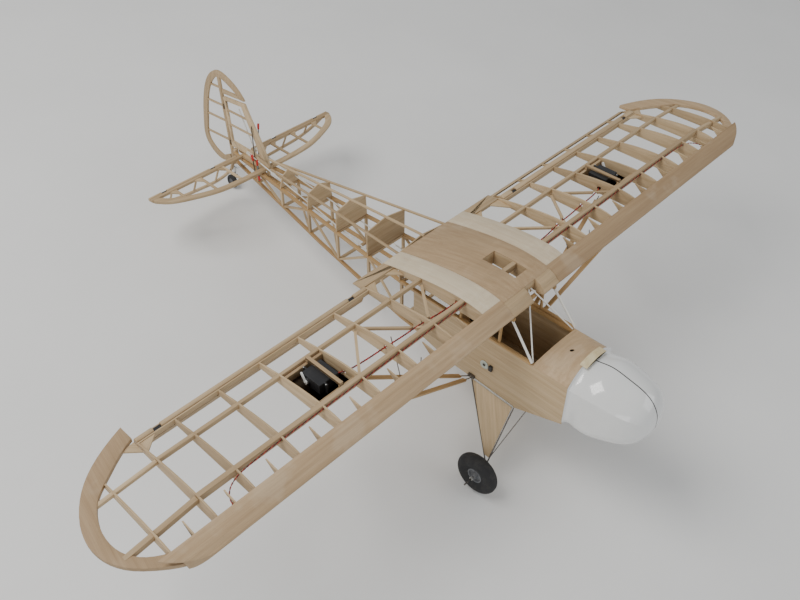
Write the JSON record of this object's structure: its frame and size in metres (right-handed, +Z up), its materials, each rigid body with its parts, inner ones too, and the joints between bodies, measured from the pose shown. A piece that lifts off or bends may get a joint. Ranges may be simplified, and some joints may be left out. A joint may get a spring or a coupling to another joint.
{
  "type": "radio-controlled model aeroplane airframe",
  "caption": "Uncovered built-up balsa high-wing cabin model aeroplane with hinged control surfaces, servos, white cowl, wing struts and tailwheel undercarriage",
  "frame": {"origin": "middle of the bounding box's base, on the floor the wheels stand on", "axes": "+X to the pilot's left along the wing, -Y towards the nose, +Z up; standing nose up on its three wheels"},
  "size_m": [1.5224, 1.1704, 0.3449],
  "materials": {
    "balsa": "sanded bare balsa with fine grain",
    "balsa_tan": "sanded balsa sheet, tanner and with light filler patches",
    "spruce": "amber spruce and hardwood strip, sanded",
    "plywood": "sanded plywood",
    "cap_wood": "pale filled balsa",
    "cowl_plastic": "glossy white vacuum-formed sheet",
    "tape": "dull cream masking tape",
    "black_plastic": "satin black moulding",
    "white_plastic": "satin white moulding",
    "tube_white": "smooth white tube",
    "tyre_foam": "soft black tyre",
    "hub_grey": "grey moulded hub",
    "wire": "dark spring-steel wire",
    "fitting_metal": "pale bright metal",
    "lead": "twisted red and black insulation",
    "thin_lead": "thin dark insulation",
    "pushrod": "pale plastic rod with a red clevis"
  },
  "bodies": {
    "airframe": {"main_spars": "balsa", "rear_spars": "balsa", "false_spars": "balsa", "left_ribs": "balsa", "right_ribs": "balsa", "riblets": "balsa", "leading_edges": "balsa_tan", "tip_bows": "balsa_tan", "wing_braces": "balsa", "fixed_trailing_edges": "balsa", "centre_sheet": "balsa_tan", "root_caps": "cap_wood", "centre_ribs": "balsa", "centre_leading_blocks": "balsa", "servo_trays": "plywood", "aileron_servos": "black_plastic", "light_leads": "thin_lead", "servo_leads": "lead", "cowl_left": "cowl_plastic", "cowl_right": "cowl_plastic", "cowl_tape": "tape", "firewall": "plywood", "nose_deck": "balsa_tan", "cabin_sides": "balsa", "belly_sheet": "balsa", "cabin_frame": "spruce", "windscreen_tubes": "tube_white", "longerons": "spruce", "side_trusses": "balsa", "cross_members": "balsa", "deck_formers": "balsa", "deck_stringers": "balsa", "stabiliser": "balsa", "fin": "balsa", "control_hinges": "black_plastic", "gear_wires": "wire", "gear_fairings": "balsa", "gear_fittings": "fitting_metal", "tail_bracket": "fitting_metal", "wing_struts": "spruce", "strut_fittings": "wire", "radio_servos": "black_plastic", "charge_switch": "black_plastic"},
    "left_aileron_b": {"left_aileron": "balsa"},
    "right_aileron_b": {"right_aileron": "balsa"},
    "elevator_b": {"elevator": "balsa"},
    "rudder_b": {"rudder": "balsa"},
    "left_wheel": {"left_tyre": "tyre_foam", "left_hub": "hub_grey"},
    "right_wheel": {"right_tyre": "tyre_foam", "right_hub": "hub_grey"},
    "tail_wheel": {"tail_tyre": "tyre_foam", "tail_hub": "hub_grey"},
    "tail_swivel": {"tail_fork": "wire"},
    "left_arm": {"left_servo_arm": "white_plastic"},
    "right_arm": {"right_servo_arm": "white_plastic"},
    "elevator_arm": {"elevator_servo_arm": "white_plastic"},
    "rudder_arm": {"rudder_servo_arm": "white_plastic"},
    "elevator_rod": {"elevator_pushrod": "pushrod"},
    "rudder_rod": {"rudder_pushrod": "pushrod"}
  },
  "joints": [
    {"name": "left_aileron_hinge", "type": "hinge", "parent": "airframe", "child": "left_aileron_b", "pos_m": [0.4, -0.09991, 0.29366], "axis": [1, 0, 0], "range_deg": [-30, 35]},
    {"name": "right_aileron_hinge", "type": "hinge", "parent": "airframe", "child": "right_aileron_b", "pos_m": [-0.4, -0.09991, 0.29366], "axis": [1, 0, 0], "range_deg": [-4, 91]},
    {"name": "elevator_hinge", "type": "hinge", "parent": "airframe", "child": "elevator_b", "pos_m": [0, 0.44719, 0.12728], "axis": [1, 0, 0], "range_deg": [-4, 89]},
    {"name": "rudder_hinge", "type": "hinge", "parent": "airframe", "child": "rudder_b", "pos_m": [0, 0.50823, 0.20572], "axis": [0, 0.2337, 0.9723], "range_deg": [-30, 30]},
    {"name": "left_wheel_axle", "type": "hinge", "parent": "airframe", "child": "left_wheel", "pos_m": [0.155, -0.39568, 0.042], "axis": [1, 0, 0], "continuous": true},
    {"name": "right_wheel_axle", "type": "hinge", "parent": "airframe", "child": "right_wheel", "pos_m": [-0.155, -0.39568, 0.042], "axis": [1, 0, 0], "continuous": true},
    {"name": "tail_swivel_pivot", "type": "hinge", "parent": "airframe", "child": "tail_swivel", "pos_m": [0, 0.48101, 0.05821], "axis": [0, 0.1769, 0.9842], "range_deg": [-40, 40]},
    {"name": "tail_wheel_axle", "type": "hinge", "parent": "tail_swivel", "child": "tail_wheel", "pos_m": [0, 0.48968, 0.01601], "axis": [1, 0, 0], "continuous": true},
    {"name": "left_arm_shaft", "type": "hinge", "parent": "airframe", "child": "left_arm", "pos_m": [0.39, -0.18732, 0.31384], "axis": [1, 0, 0], "range_deg": [-45, 45]},
    {"name": "right_arm_shaft", "type": "hinge", "parent": "airframe", "child": "right_arm", "pos_m": [-0.39, -0.18732, 0.31384], "axis": [1, 0, 0], "range_deg": [-45, 45]},
    {"name": "elevator_arm_shaft", "type": "hinge", "parent": "airframe", "child": "elevator_arm", "pos_m": [-0.022, -0.20715, 0.18085], "axis": [0, 0.1769, 0.9842], "range_deg": [-40, 40]},
    {"name": "rudder_arm_shaft", "type": "hinge", "parent": "airframe", "child": "rudder_arm", "pos_m": [0.022, -0.20715, 0.18085], "axis": [0, 0.1769, 0.9842], "range_deg": [-40, 40]},
    {"name": "elevator_rod_slide", "type": "slide", "parent": "airframe", "child": "elevator_rod", "axis": [0.0389, 0.9978, -0.0534], "range_m": [-0.0098, 0.0098]},
    {"name": "rudder_rod_slide", "type": "slide", "parent": "airframe", "child": "rudder_rod", "axis": [-0.0389, 0.9978, -0.0534], "range_m": [-0.0098, 0.0098]}
  ],
  "couplings": [
    {"joint": "elevator_arm_shaft", "follows": "elevator_rod_slide", "rad_per_m": -71.2},
    {"joint": "rudder_arm_shaft", "follows": "rudder_rod_slide", "rad_per_m": 71.2}
  ]
}
